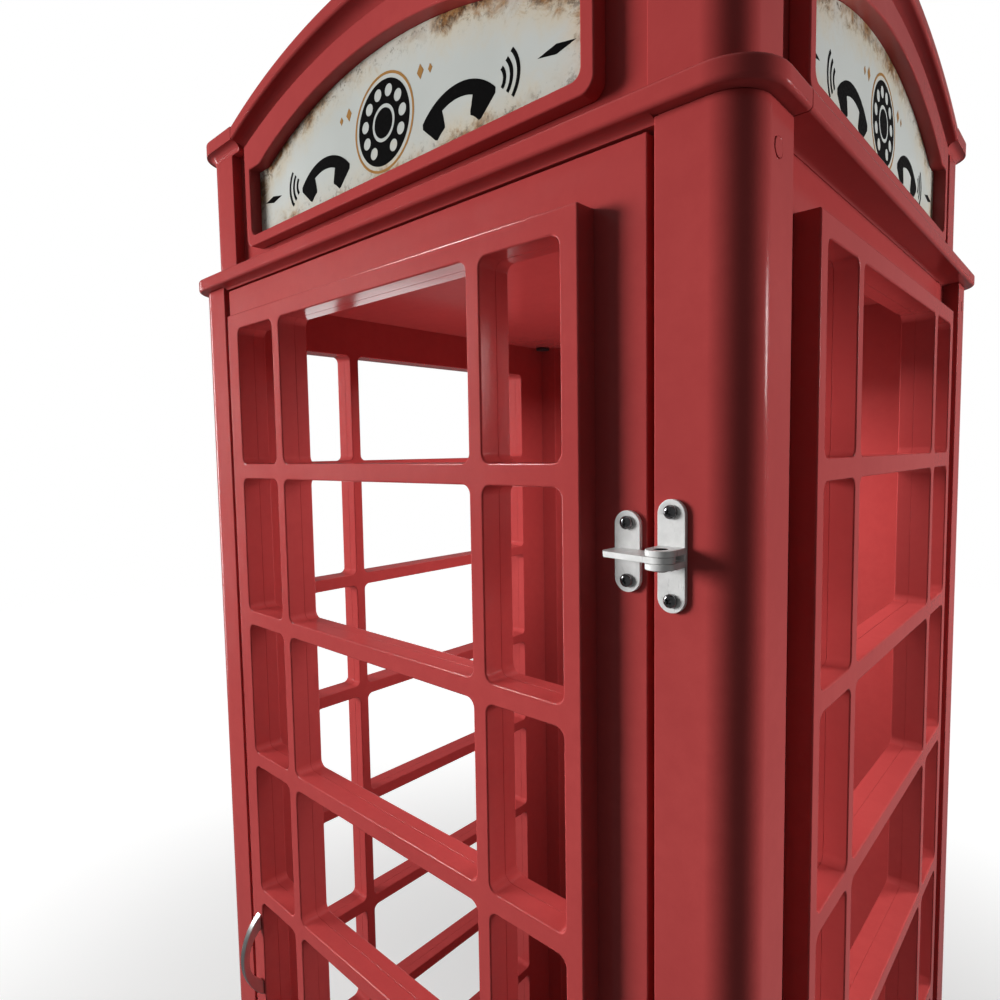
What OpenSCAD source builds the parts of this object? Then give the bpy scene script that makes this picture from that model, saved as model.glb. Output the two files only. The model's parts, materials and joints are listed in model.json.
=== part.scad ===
// Red telephone booth: a square timber cabin on a plinth, with a glazed-pattern door on
// three pivot hinges, windowed side walls, a stepped cornice, four arched signs and a domed roof.
// Millimetres. Origin on the ground under the middle of the cabin, +Z up, the door faces -Y.

/* [Cabin] */
// Width of the cabin across the corner posts
cabin_w = 882; // [860:1:900]
// Width of each corner post's legs
post_leg = 78; // [70:1:90]
// Radius of each post's outer corner
post_r = 34; // [20:1:40]
// Thickness of the boards the booth is made of
board_t = 18; // [15:1:20]
// Height of the floor above the ground
floor_z = 200; // [150:1:220]

/* [Window pattern] */
// Number of rows of panes
rows = 8; // [4:1:8]
// Height of each pane
pane_h = 191; // [170:1:191]
// Width of the middle panes
wide_w = 347; // [300:1:347]
// Width of the outer panes
narrow_w = 94; // [80:1:94]
// Height of the bars between rows
bar_h = 21; // [15:1:21]
// Width of the bars between columns
bar_w = 18; // [12:1:18]
// Width of the raised frame's outer stiles
stile_w = 19.5; // [15:0.5:19.5]
// Radius of each pane's corners
pane_r = 10; // [4:1:14]
// Thickness of the raised frames
raised_t = 23.5; // [18:0.5:24]

/* [Door] */
// Clearance under the door
door_clear = 5; // [3:1:8]
// Plain margin of the door below its raised frame
margin_low = 50; // [44:1:50]
// Plain margin of the door above its raised frame
margin_high = 46; // [40:1:46]
// Gap between the door's edge and each post
door_gap = 7.7; // [5:0.1:9]
// Width of the raised frame's stile on the door's handle side
handle_stile_w = 29.5; // [19.5:0.5:30]
// Depth of the door's face behind the post faces
door_recess = 3.7; // [2:0.1:5]

/* [Hinges] */
// Radius of the hinge pins
pin_r = 5.2; // [4:0.1:5.5]
// Running clearance of the tongue's bore on the pin
pin_clear = 0.08; // [0.05:0.01:0.1]
// Distance of the pins' axis in front of the post faces
pin_reach = 19.8; // [18:0.1:22]
// Distance of the pins' axis from the booth's middle
pin_x = 380.5; // [379:0.5:382]
// Height of the hinge's plate on the door
door_plate_h = 68; // [60:1:76]
// Height of the hinge's plate on the post
post_plate_h = 90; // [84:1:100]
// Thickness of the hinge plates
plate_t = 4; // [3:0.5:4]

/* [Handle] */
// Height of the handle's middle above the ground
handle_z = 1018; // [950:1:1100]
// Length of the handle
handle_l = 128; // [120:1:140]
// How far the handle stands out
handle_out = 30; // [26:1:34]
// Width of the handle
handle_w = 10; // [8:1:14]

/* [Cornice and signs] */
// Overhang of the lower cornice beyond the posts
cornice_out = 13.4; // [10:0.1:18]
// Height of the upper posts
attic_post_h = 185; // [175:1:195]
// Set-back of the upper posts behind the lower ones
attic_back = 14.6; // [10:0.1:18]
// Radius of the arched cornices' top edge
arch_r = 912; // [880:1:980]
// Rise of the arches above the upper cornice's corners
arch_rise = 60; // [50:1:64]
// Half-width of the sign openings
sign_half = 287.5; // [270:0.5:287.5]
// Radius of the sign openings' top arc
sign_arc_r = 622.5; // [600:0.5:640]

/* [Hidden] */

$fn = 96;

// Sides are numbered front 0, right 1, back 2, left 3; corners front-right 0, then anticlockwise
front = 0;
right = 1;
back = 2;
left = 3;
// Hairline left between neighbouring boards
joint = 0.2;
far = 2000;

// Distances from the booth's middle to each face
post_face = cabin_w / 2;
post_in = post_face - post_leg;
door_face = post_face - door_recess;
door_back = door_face - board_t;
door_front = door_face + raised_t;
wall_back = 402.5;
wall_face = wall_back + board_t;
span = post_in - joint;

// Raised frame and door heights
frame_w = 2 * stile_w + 2 * narrow_w + 2 * bar_w + wide_w;
frame_h = rows * pane_h + (rows + 1) * bar_h;
door_z = floor_z + door_clear;
frame_z = door_z + margin_low;
door_h = frame_h + margin_low + margin_high;
door_w = 2 * (post_in - door_gap);

// Base
glide_r = 20;
glide_h = 6;
plinth_face = 444;
plinth_r = 37;
floor_reach = 452;
floor_r = 45;
block_w = 60;
bearer_w = 45;

// Lower cornice
head_gap = 2.4;
bed_h = 5;
bed_lip = 5.4;
mould_z = door_z + door_h + head_gap;
soffit_z = mould_z + bed_h;
cornice_z = soffit_z + board_t;
cornice_face = post_face + cornice_out;
cornice_r = post_r + cornice_out;
nose_r = 4;

// Upper stage
attic_face = post_face - attic_back;
attic_in = attic_face - post_leg;
ear_z = cornice_z + attic_post_h;
ear_top = ear_z + board_t;
ear_out = 13.2;
ear_face = attic_face + ear_out;
ear_r = post_r + ear_out;
arch_top = ear_top + arch_rise;
arch_z = arch_top - arch_r;
arch_half = sqrt(pow(arch_r, 2) - pow(ear_top - arch_z, 2));
fascia_r = arch_r - board_t;
cove_h = 23;
cove_r = fascia_r - cove_h;
ear_cove_h = 12;
ear_lip = 3;
layer_air = 0.3;
attic_board_back = 395.1;
attic_board_face = attic_board_back + board_t;
cove_w = ear_face - nose_r - joint - attic_board_face - layer_air;
sign_frame_t = 18.9;
sign_frame_face = attic_board_face + sign_frame_t;
sign_frame_half = 302;
sign_frame_z = cornice_z + 27.4;
sign_border = 14.4;
sign_z = sign_frame_z + sign_border;
sign_shoulder = sign_z + 92;
sign_top = sign_z + 149;
sign_r = 10;
sign_frame_r = 14;
sign_t = 3;
sign_slack = 0.4;

// Roof
roof_reach = 394.8;
roof_t = 16;
roof_drop = 7;
roof_r = sqrt(pow(arch_r - roof_drop, 2) + pow(roof_reach, 2));

// Hinges
hinge_mid = 906.5;
hinge_step = 575;
hinge_heights = [for (i = [-1 : 1]) door_z + hinge_mid + i * hinge_step];
plate_w = 24;
leaf_x = 338.5;
ear_t = 5;
tongue_t = 4.8;
tongue_air = 0.3;
tongue_r = 11;
door_screw_pitch = 48;
post_screw_pitch = 70;
screw_r = 2;
screw_hole_r = 2.05;
screw_clear_r = 2.4;
head_r = 5.6;
head_h = 4.6;
door_screw_l = 16;
post_screw_l = 30;
pin_y = -(post_face + pin_reach);
pin_proud = 1.8;
pin_sunk = 1.6;

// Handle, catch and stops
handle_pitch = 96;
handle_x = -(frame_w - stile_w) / 2;
foot_l = 22;
handle_thin = 9;
handle_screw_grip = 10;
handle_head_h = 2.6;
handle_head_r = 4;
stop_w = 24.2;
stop_t = 18;
stop_head_h = 22;
stop_face = door_back - 0.4;
catch_w = 14;
catch_d = 16;
catch_h = 46;
strike_t = 1.5;
strike_h = 40;

// Ceiling and plugs
ceiling_t = 7;
ceiling_z = soffit_z - ceiling_t - 0.4;
cap_r = 15.5;
cap_h = 6;
cap_inset = cap_r + 2;
plug_r = 7.5;
plug_deep = 8;
plug_proud = 0.4;
plug_y = 395;
plug_heights = [floor_z + 30, mould_z - 28];

paint = "firebrick";

// ---- helpers ----

// The front's drawing turned to another side
module on_side(side) rotate([0, 0, 90 * side]) children();

// A drawing made in the back-right corner, turned to a corner
module on_corner(corner) rotate([0, 0, 90 * (corner - 1)]) children();

// A board standing on the front side: its outline is drawn in X and Z, its faces are at two depths
module standing(depth_back, depth_face)
    translate([0, -depth_back, 0])
        rotate([90, 0, 0])
            linear_extrude(depth_face - depth_back) children();

// A square plan with rounded corners
module rounded_plan(reach, r) {
    square([2 * reach, 2 * (reach - r)], center = true);
    square([2 * (reach - r), 2 * reach], center = true);
    for (sx = [-1, 1], sy = [-1, 1])
        translate([sx * (reach - r), sy * (reach - r)]) circle(r);
}

// A rectangle with its low corner at the origin and rounded corners
module rounded_rect(w, h, r) {
    translate([r, 0]) square([w - 2 * r, h]);
    translate([0, r]) square([w, h - 2 * r]);
    for (x = [r, w - r], y = [r, h - r]) translate([x, y]) circle(r);
}

// The plan of one corner post, with its outer corner rounded
module post_plan(reach) {
    translate([reach - post_leg, reach - post_leg]) square([post_leg, post_leg - post_r]);
    translate([reach - post_leg, reach - post_leg]) square([post_leg - post_r, post_leg]);
    translate([reach - post_r, reach - post_r]) circle(post_r);
}

// The front quarter of the plan, cut along the two mitres
module mitre_plan() translate([0, -joint]) polygon([[0, 0], [-far, -far], [far, -far]]);

// Points of a cove that starts upright at depth d, height z and turns out to w, h further
function cove(d, z, w, h) = [for (a = [0 : 15 : 90]) [d + w * (1 - cos(a)), z + h * sin(a)]];

// Points of a rounded board nose between two heights, whose front is at depth d
function nose(d, z0, z1) = concat(
    [for (a = [-90 : 15 : 0]) [d - nose_r + nose_r * cos(a), z0 + nose_r + nose_r * sin(a)]],
    [for (a = [0 : 15 : 90]) [d - nose_r + nose_r * cos(a), z1 - nose_r + nose_r * sin(a)]]);

// The pane openings, in X and Z
module panes() {
    columns = [[-frame_w / 2 + stile_w, narrow_w], [-wide_w / 2, wide_w],
        [frame_w / 2 - stile_w - narrow_w, narrow_w]];
    for (row = [0 : rows - 1], column = columns)
        translate([column[0], frame_z + bar_h + row * (pane_h + bar_h)])
            rounded_rect(column[1], pane_h, pane_r);
}

// The raised frame's outline, made wider by extra at its left
module raised_outline(extra = 0)
    translate([-frame_w / 2 - extra, frame_z]) square([frame_w + extra, frame_h]);

module wall_outline() translate([-span, floor_z]) square([2 * span, soffit_z - floor_z]);

// A hole along Y from one depth to another, both measured from the booth's middle
module y_bore(x, z, r, depth_in, depth_out)
    translate([x, -depth_in, z])
        rotate([90, 0, 0])
            cylinder(h = depth_out - depth_in, r = r);

// ---- base ----

module glide_places() {
    for (sx = [-1, 1], sy = [-1, 1])
        translate([sx * (plinth_face - board_t - block_w / 2 - joint),
            sy * (plinth_face - board_t - block_w / 2 - joint), 0]) children();
}

module glides() color("black") {
    glide_places() cylinder(h = glide_h, r = glide_r);
    cylinder(h = glide_h, r = glide_r);
}

module corner_blocks() color("burlywood")
    glide_places()
        translate([-block_w / 2, -block_w / 2, glide_h])
            cube([block_w, block_w, floor_z - board_t - glide_h]);

module floor_bearer() color("burlywood") {
    length = 2 * (plinth_face - board_t - joint);
    translate([-length / 2, -bearer_w / 2, glide_h])
        cube([length, bearer_w, floor_z - board_t - glide_h]);
}

module plinth_boards() color(paint)
    for (side = [front : left])
        on_side(side)
            translate([0, 0, glide_h])
                linear_extrude(floor_z - board_t - glide_h)
                    intersection() {
                        difference() {
                            rounded_plan(plinth_face, plinth_r);
                            square(2 * (plinth_face - board_t), center = true);
                        }
                        mitre_plan();
                    }

module floor_board() color(paint)
    translate([0, 0, floor_z - board_t])
        linear_extrude(board_t) rounded_plan(floor_reach, floor_r);

// ---- posts ----

// The blind holes of the cover plugs, in the side faces of the posts
module plug_places() {
    for (sx = [-1, 1], sy = [-1, 1], z = plug_heights)
        translate([sx * (post_face - plug_deep), sy * plug_y, z])
            rotate([0, sx * 90, 0]) children();
}

module hinge_post_holes() {
    for (z = hinge_heights, s = [-1, 1])
        y_bore(pin_x, z + s * post_screw_pitch / 2, screw_hole_r,
            post_face - post_screw_l - 1, post_face + 1);
}

module post(corner) color(paint)
    difference() {
        on_corner(corner)
            translate([0, 0, floor_z])
                linear_extrude(soffit_z - floor_z) post_plan(post_face);
        plug_places() cylinder(h = plug_deep + 1, r = plug_r + 0.05);
        hinge_post_holes();
    }

module post_plugs() color(paint)
    plug_places() cylinder(h = plug_deep + plug_proud, r = plug_r);

// ---- walls ----

module side_board(side) color(paint)
    on_side(side)
        standing(wall_back, wall_face) difference() {
            wall_outline();
            panes();
        }

module side_frame(side) color(paint)
    on_side(side)
        standing(wall_face, wall_face + raised_t) difference() {
            raised_outline();
            panes();
        }

module back_board() color(paint)
    on_side(back)
        standing(wall_back, wall_face) wall_outline();

module back_panel() color(paint)
    on_side(back)
        standing(wall_face, wall_face + raised_t) raised_outline();

// ---- door ----

module handle_holes(r, depth_in, depth_out) {
    for (s = [-1, 1])
        y_bore(handle_x, handle_z + s * handle_pitch / 2, r, depth_in, depth_out);
}

module door_board() color(paint)
    difference() {
        standing(door_back, door_face) difference() {
            translate([-door_w / 2, door_z]) square([door_w, door_h]);
            panes();
        }
        for (z = hinge_heights, s = [-1, 1])
            y_bore(leaf_x, z + s * door_screw_pitch / 2, screw_hole_r,
                door_face - door_screw_l - 1, door_face + 1);
        handle_holes(screw_clear_r, door_back - 1, door_face + 1);
    }

module door_frame() color(paint)
    difference() {
        standing(door_face, door_front) difference() {
            raised_outline(handle_stile_w - stile_w);
            panes();
        }
        handle_holes(screw_clear_r, door_face - 1, door_front + 1);
    }

// A crescent of two arcs, flat against the door, with a foot at each end
module crescent() {
    outer_r = (pow(handle_l / 2, 2) + pow(handle_out, 2)) / (2 * handle_out);
    gap_half = handle_l / 2 - foot_l;
    gap_out = handle_out - handle_thin;
    inner_r = (pow(gap_half, 2) + pow(gap_out, 2)) / (2 * gap_out);
    difference() {
        translate([outer_r - handle_out, 0]) circle(outer_r, $fn = 180);
        translate([inner_r - gap_out, 0]) circle(inner_r, $fn = 180);
        translate([0, -far / 2]) square([far, far]);
    }
}

module door_handle() color("silver")
    difference() {
        translate([handle_x - handle_w / 2, -door_front, handle_z])
            rotate([90, 0, 90])
                linear_extrude(handle_w) crescent();
        handle_holes(screw_hole_r, door_front - 1, door_front + handle_screw_grip + 0.5);
    }

module handle_screws() color("silver") {
    handle_holes(screw_r, door_back - 0.1, door_front + handle_screw_grip);
    handle_holes(handle_head_r, door_back - handle_head_h, door_back);
}

// ---- hinges ----

// An upright plate with round ends against a face, centred on height z
module hinge_plate(x, z, h, face, pitch)
    difference() {
        standing(face, face + plate_t) translate([x, z]) {
            square([plate_w, h - plate_w], center = true);
            for (s = [-1, 1]) translate([0, s * (h - plate_w) / 2]) circle(plate_w / 2);
        }
        for (s = [-1, 1])
            y_bore(x, z + s * pitch / 2, screw_clear_r, face - 1, face + plate_t + 1);
    }

module hinge_door_leaf(z) color("gainsboro") {
    tongue_back = -(door_face + plate_t);
    tongue_left = leaf_x - plate_w / 2 + 0.5;
    hinge_plate(leaf_x, z, door_plate_h, door_face, door_screw_pitch);
    difference() {
        translate([0, 0, z - tongue_t / 2])
            linear_extrude(tongue_t) {
                polygon([[tongue_left, tongue_back + 1], [tongue_left, pin_y + 1],
                    [tongue_left + 4, pin_y - 4], [pin_x, pin_y - tongue_r],
                    [pin_x, pin_y + tongue_r], [leaf_x + plate_w / 2, tongue_back],
                    [leaf_x + plate_w / 2, tongue_back + 1]]);
                translate([pin_x, pin_y]) circle(tongue_r);
            }
        translate([pin_x, pin_y, z - tongue_t]) cylinder(h = 2 * tongue_t, r = pin_r + pin_clear);
    }
}

module hinge_post_leaf(z) color("gainsboro") {
    hinge_plate(pin_x, z, post_plate_h, post_face, post_screw_pitch);
    for (s = [-1, 1])
        translate([pin_x, pin_y, z + s * (tongue_t / 2 + tongue_air + ear_t / 2)])
            difference() {
                union() {
                    cylinder(h = ear_t, r = plate_w / 2, center = true);
                    translate([-plate_w / 2, 0, -ear_t / 2])
                        cube([plate_w, pin_reach - plate_t + 1, ear_t]);
                }
                cylinder(h = 2 * ear_t, r = pin_r + 0.02, center = true);
            }
}

module hinge_pins() color("dimgray") {
    stack = tongue_t / 2 + tongue_air + ear_t;
    for (z = hinge_heights)
        translate([pin_x, pin_y, z - stack - pin_proud])
            cylinder(h = 2 * stack + pin_proud - pin_sunk, r = pin_r);
}

// A pan-head screw along Y with a cross recess, its head's underside at depth face
module cross_screw(x, z, face, length) {
    slot_w = 1.6;
    slot_l = 6.4;
    y_bore(x, z, screw_r, face - length, face + 0.5);
    difference() {
        y_bore(x, z, head_r, face, face + head_h);
        for (a = [0, 90])
            translate([x, -(face + head_h), z])
                rotate([0, a, 0])
                    cube([slot_l, 4, slot_w], center = true);
    }
}

module hinge_door_screws() color("gray")
    for (z = hinge_heights, s = [-1, 1])
        cross_screw(leaf_x, z + s * door_screw_pitch / 2, door_face + plate_t, door_screw_l + plate_t);

module hinge_post_screws() color("gray")
    for (z = hinge_heights, s = [-1, 1])
        cross_screw(pin_x, z + s * post_screw_pitch / 2, post_face + plate_t, post_screw_l + plate_t);

// ---- door stops and catch ----

module door_stop_side(s) color(paint)
    standing(stop_face - stop_t, stop_face)
        translate([s * (span - stop_w / 2) - stop_w / 2, floor_z])
            square([stop_w, ceiling_z - floor_z]);

module door_stop_head() color(paint)
    standing(stop_face - stop_t, stop_face)
        translate([-(span - stop_w - joint), ceiling_z - stop_head_h])
            square([2 * (span - stop_w - joint), stop_head_h]);

module magnet_catch() color("dimgray")
    standing(stop_face - catch_d - strike_t, stop_face - strike_t)
        translate([-(span - stop_w - joint), handle_z - catch_h / 2])
            square([catch_w, catch_h]);

module strike_plate() color("silver")
    standing(door_back - strike_t, door_back)
        translate([-(span - stop_w - joint) + 1, handle_z - strike_h / 2])
            square([catch_w, strike_h]);

// ---- ceiling and lower cornice ----

module ceiling_board() color(paint)
    translate([0, 0, ceiling_z])
        linear_extrude(ceiling_t) difference() {
            translate([-wall_back + joint, -stop_face])
                square([2 * (wall_back - joint), stop_face + wall_back - joint]);
            for (sx = [-1, 1], sy = [-1, 1])
                translate([sx * (post_in + post_leg / 2), sy * (post_in + post_leg / 2)])
                    square(post_leg + 2 * joint, center = true);
        }

module ceiling_caps() color("black")
    for (sx = [-1, 1], sy = [-1, 1])
        translate([sx * (wall_back - cap_inset), sy * (post_in - cap_inset), ceiling_z - cap_h])
            cylinder(h = cap_h, r = cap_r);

// The small cove between each wall and the cornice above it
module bed_mould(side, depth_back, depth_wall) {
    out = cornice_face - bed_lip - depth_wall;
    profile = concat([[depth_back, mould_z]], cove(depth_wall, mould_z, out, bed_h),
        [[depth_back, soffit_z]]);
    on_side(side)
        translate([-span, 0, 0])
            rotate([90, 0, 90])
                linear_extrude(2 * span)
                    mirror([1, 0, 0]) polygon(profile);
}

module bed_moulds() color(paint) {
    bed_mould(front, door_back, door_face);
    for (side = [right : left]) bed_mould(side, wall_face, wall_face + 1);
}

// The front and back lengths of the lower cornice run round both corners
module lower_cornice_end(side) color(paint)
    on_side(side) {
        centre = cornice_face - cornice_r;
        translate([-centre, 0, 0])
            rotate([90, 0, 90])
                linear_extrude(2 * centre)
                    mirror([1, 0, 0])
                        polygon(concat([[post_in, soffit_z]], nose(cornice_face, soffit_z, cornice_z),
                            [[post_in, cornice_z]]));
        for (turn = [0, 1])
            mirror([turn, 0, 0]) {
                translate([centre, -centre, 0])
                    rotate([0, 0, -90])
                        rotate_extrude(angle = 90)
                            polygon(concat([[0, soffit_z]], nose(cornice_r, soffit_z, cornice_z),
                                [[0, cornice_z]]));
                translate([0, -post_in, 0])
                    rotate([90, 0, 0])
                        linear_extrude(centre - post_in)
                            polygon(concat([[centre, soffit_z]], nose(cornice_face, soffit_z, cornice_z),
                                [[centre, cornice_z]]));
            }
    }

// The side lengths butt between them
module lower_cornice_side(side) color(paint)
    on_side(side)
        translate([-post_in + joint, 0, 0])
            rotate([90, 0, 90])
                linear_extrude(2 * (post_in - joint))
                    mirror([1, 0, 0])
                        polygon(concat([[post_in, soffit_z]], nose(cornice_face, soffit_z, cornice_z),
                            [[post_in, cornice_z]]));

// ---- upper stage ----

module upper_post(corner) color(paint)
    on_corner(corner)
        translate([0, 0, cornice_z])
            linear_extrude(attic_post_h) post_plan(attic_face);

// The area under an arc of radius r about the arches' common centre
module under_arc(r, half) intersection() {
    translate([0, arch_z]) circle(r, $fn = 360);
    translate([-half, cornice_z]) square([2 * half, far]);
}

module attic_board(side) color(paint)
    on_side(side)
        standing(attic_board_back, attic_board_face) {
            under_arc(cove_r, attic_in - joint);
            for (s = [-1, 1])
                translate([s * (attic_in - joint + arch_half) / 2, (cornice_z + ear_z) / 2])
                    square([attic_in - joint - arch_half, ear_z - cornice_z], center = true);
        }

// The sign opening: a low rectangle with shoulders under a segmental arc
module sign_outline(slack) {
    half = sign_half - slack;
    low = sign_z + slack;
    intersection() {
        union() {
            translate([-half, low + sign_r]) square([2 * half, sign_shoulder - slack - low - sign_r]);
            translate([-half + sign_r, low]) square([2 * (half - sign_r), sign_r + 1]);
            for (s = [-1, 1]) translate([s * (half - sign_r), low + sign_r]) circle(sign_r);
            intersection() {
                translate([0, sign_top - sign_arc_r]) circle(sign_arc_r - slack, $fn = 360);
                translate([-half, sign_shoulder - slack - 1]) square([2 * half, 200]);
            }
        }
        translate([-half, low]) square([2 * half, 200]);
    }
}

module sign_frame(side) color(paint)
    on_side(side)
        standing(attic_board_face, sign_frame_face) difference() {
            corner_x = sign_frame_half - sign_frame_r;
            corner_z = sign_frame_z + sign_frame_r;
            intersection() {
                under_arc(cove_r - joint / 4, sign_frame_half);
                union() {
                    translate([-sign_frame_half, corner_z]) square([2 * sign_frame_half, far]);
                    translate([-corner_x, sign_frame_z]) square([2 * corner_x, sign_frame_r + 1]);
                    for (s = [-1, 1]) translate([s * corner_x, corner_z]) circle(sign_frame_r);
                }
            }
            sign_outline(0);
        }

module sign_panels() color("ivory")
    for (side = [front : left])
        on_side(side)
            standing(attic_board_face, attic_board_face + sign_t) sign_outline(sign_slack);

// An arched cornice: fascia and cove swept round the arc's centre
module arch(side) color(paint) {
    profile = concat([[attic_board_back, cove_r]],
        cove(attic_board_face + layer_air, cove_r, cove_w, cove_h),
        nose(ear_face, fascia_r, arch_r), [[attic_board_back, arch_r]]);
    on_side(side)
        intersection() {
            translate([0, 0, arch_z])
                rotate([90, 0, 0])
                    rotate_extrude($fn = 360)
                        polygon([for (p = profile) [p[1], p[0]]]);
            translate([-arch_half + joint, -ear_face - 1, cornice_z])
                cube([2 * (arch_half - joint), 60, 400]);
        }
}

// A corner of the upper cornice: a board over the post's top, and a cove round the post
module cornice_corner() {
    centre = ear_face - ear_r;
    cove_z = ear_z - ear_cove_h;
    lip = cove(0, cove_z, ear_out - ear_lip, ear_cove_h);
    translate([0, 0, ear_z])
        linear_extrude(board_t) {
            translate([arch_half, attic_board_back])
                square([centre - arch_half, ear_face - attic_board_back]);
            translate([attic_board_back, arch_half])
                square([ear_face - attic_board_back, centre - arch_half]);
            translate([attic_in, attic_in]) square(attic_board_back - attic_in + 1);
            translate([centre, centre]) intersection() {
                circle(ear_r);
                square(ear_r);
            }
        }
    for (turn = [0, 1])
        mirror([turn, -turn, 0]) {
            translate([arch_half, 0, 0])
                rotate([90, 0, 90])
                    linear_extrude(attic_in - joint - arch_half)
                        polygon(concat([[attic_board_face, cove_z]],
                            [for (p = lip) [attic_face + p[0], p[1]]], [[attic_board_face, ear_z]]));
            translate([attic_in - joint, 0, 0])
                rotate([90, 0, 90])
                    linear_extrude(centre - attic_in + joint)
                        polygon(concat([for (p = lip) [attic_face + p[0], p[1]]], [[attic_face, ear_z]]));
        }
    translate([centre, centre, 0])
        rotate_extrude(angle = 90)
            polygon(concat([for (p = lip) [post_r + p[0], p[1]]], [[post_r, ear_z]]));
}

module cornice_corners() color(paint)
    for (corner = [0 : 3]) on_corner(corner) cornice_corner();

module roof_dome() color(paint)
    intersection() {
        translate([0, 0, arch_z])
            difference() {
                sphere(roof_r, $fn = 180);
                sphere(roof_r - roof_t, $fn = 180);
            }
        translate([0, 0, cornice_z]) linear_extrude(far) difference() {
            square(2 * roof_reach, center = true);
            for (sx = [-1, 1], sy = [-1, 1])
                translate([sx * far / 2 + sx * (attic_in - joint), sy * far / 2 + sy * (attic_in - joint)])
                    square(far, center = true);
        }
    }

glides();
corner_blocks();
floor_bearer();
plinth_boards();
floor_board();
post(0);  // post_front_right
post(1);  // post_back_right
post(2);  // post_back_left
post(3);  // post_front_left
post_plugs();
side_board(right);  // side_board_right
side_board(left);  // side_board_left
back_board();
side_frame(right);  // side_frame_right
side_frame(left);  // side_frame_left
back_panel();
door_board();
door_frame();
door_handle();
handle_screws();
hinge_door_leaf(hinge_heights[2]);  // hinge_door_leaf_top
hinge_door_leaf(hinge_heights[1]);  // hinge_door_leaf_middle
hinge_door_leaf(hinge_heights[0]);  // hinge_door_leaf_bottom
hinge_post_leaf(hinge_heights[2]);  // hinge_post_leaf_top
hinge_post_leaf(hinge_heights[1]);  // hinge_post_leaf_middle
hinge_post_leaf(hinge_heights[0]);  // hinge_post_leaf_bottom
hinge_pins();
hinge_door_screws();
hinge_post_screws();
door_stop_side(-1);  // door_stop_left
door_stop_side(1);  // door_stop_right
door_stop_head();
magnet_catch();
strike_plate();
ceiling_board();
ceiling_caps();
bed_moulds();
lower_cornice_end(front);  // lower_cornice_front
lower_cornice_side(right);  // lower_cornice_right
lower_cornice_end(back);  // lower_cornice_back
lower_cornice_side(left);  // lower_cornice_left
upper_post(0);  // upper_post_front_right
upper_post(1);  // upper_post_back_right
upper_post(2);  // upper_post_back_left
upper_post(3);  // upper_post_front_left
attic_board(front);  // attic_board_front
attic_board(right);  // attic_board_right
attic_board(back);  // attic_board_back
attic_board(left);  // attic_board_left
sign_frame(front);  // sign_frame_front
sign_frame(right);  // sign_frame_right
sign_frame(back);  // sign_frame_back
sign_frame(left);  // sign_frame_left
sign_panels();
arch(front);  // arch_front
arch(right);  // arch_right
arch(back);  // arch_back
arch(left);  // arch_left
cornice_corners();
roof_dome();
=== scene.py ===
"""Looks of the red telephone booth: painted boards with rounded edges, aged sign panels with a
generic telephone pictogram, metal hinges, screws and handle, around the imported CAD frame. Metres."""

import json
import math

import bmesh
import bpy
from mathutils import Matrix, Vector


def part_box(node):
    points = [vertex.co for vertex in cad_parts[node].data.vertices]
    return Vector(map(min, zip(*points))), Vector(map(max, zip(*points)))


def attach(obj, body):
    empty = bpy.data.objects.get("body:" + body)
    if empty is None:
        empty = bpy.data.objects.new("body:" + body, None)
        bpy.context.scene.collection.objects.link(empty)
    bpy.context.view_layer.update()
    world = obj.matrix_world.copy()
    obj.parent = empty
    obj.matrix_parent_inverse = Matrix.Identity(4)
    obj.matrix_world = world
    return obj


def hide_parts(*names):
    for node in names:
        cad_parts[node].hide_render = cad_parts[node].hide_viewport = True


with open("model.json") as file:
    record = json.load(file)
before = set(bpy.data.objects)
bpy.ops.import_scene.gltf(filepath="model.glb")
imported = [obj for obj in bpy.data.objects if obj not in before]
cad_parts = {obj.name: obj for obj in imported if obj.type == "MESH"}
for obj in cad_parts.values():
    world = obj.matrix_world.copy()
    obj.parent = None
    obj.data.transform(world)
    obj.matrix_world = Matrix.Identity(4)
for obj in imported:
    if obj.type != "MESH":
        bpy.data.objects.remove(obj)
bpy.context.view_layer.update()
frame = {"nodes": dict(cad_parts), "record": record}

MM = 0.001
SIDES = ["front", "right", "back", "left"]
BODY_OF = {n: body for body, members in frame["record"]["behaviour"]["bodies"].items() for n in members}
SLOT_OF = {p["node"]: p["material_slot"] for p in frame["record"]["subparts"]}

# Where the CAD has the faces that the raised frames and the signs lie on, and the hinge pins' axis
DOOR_FACE = -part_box("door_board")[0].y
WALL_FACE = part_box("side_board_right")[1].x
SIGN_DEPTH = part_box("sign_panels")[1].x
SIGN_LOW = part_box("sign_panels")[0].z
SIGN_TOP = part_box("sign_panels")[1].z
PIN_AXIS = (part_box("hinge_pins")[0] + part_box("hinge_pins")[1]) / 2
FRAME_LOW, FRAME_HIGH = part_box("door_frame")

# Just over the radius of the pins' bores, so that the painted shade inside each bore reaches over its rim
# too
BORE_R = 5.4 * MM

# ---------------------------------------------------------------- camera

CAMERA_PLACE = Vector((0.6341, -0.9141, 1.7692))
CAMERA_YAW = math.radians(42.80)
CAMERA_PITCH = math.radians(4.01)
CAMERA_ROLL = math.radians(-0.94)
CAMERA_LENS = 24.04


def make_camera():
    data = bpy.data.cameras.new("camera")
    data.lens = CAMERA_LENS
    data.sensor_width = 36
    data.clip_start = 0.02
    data.clip_end = 200
    camera = bpy.data.objects.new("camera", data)
    turn = (Matrix.Rotation(CAMERA_YAW, 4, "Z") @ Matrix.Rotation(math.pi / 2 - CAMERA_PITCH, 4, "X")
            @ Matrix.Rotation(CAMERA_ROLL, 4, "Z"))
    camera.matrix_world = Matrix.Translation(CAMERA_PLACE) @ turn
    bpy.context.scene.collection.objects.link(camera)
    bpy.context.scene.camera = camera


# ---------------------------------------------------------------- shader helpers

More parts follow.
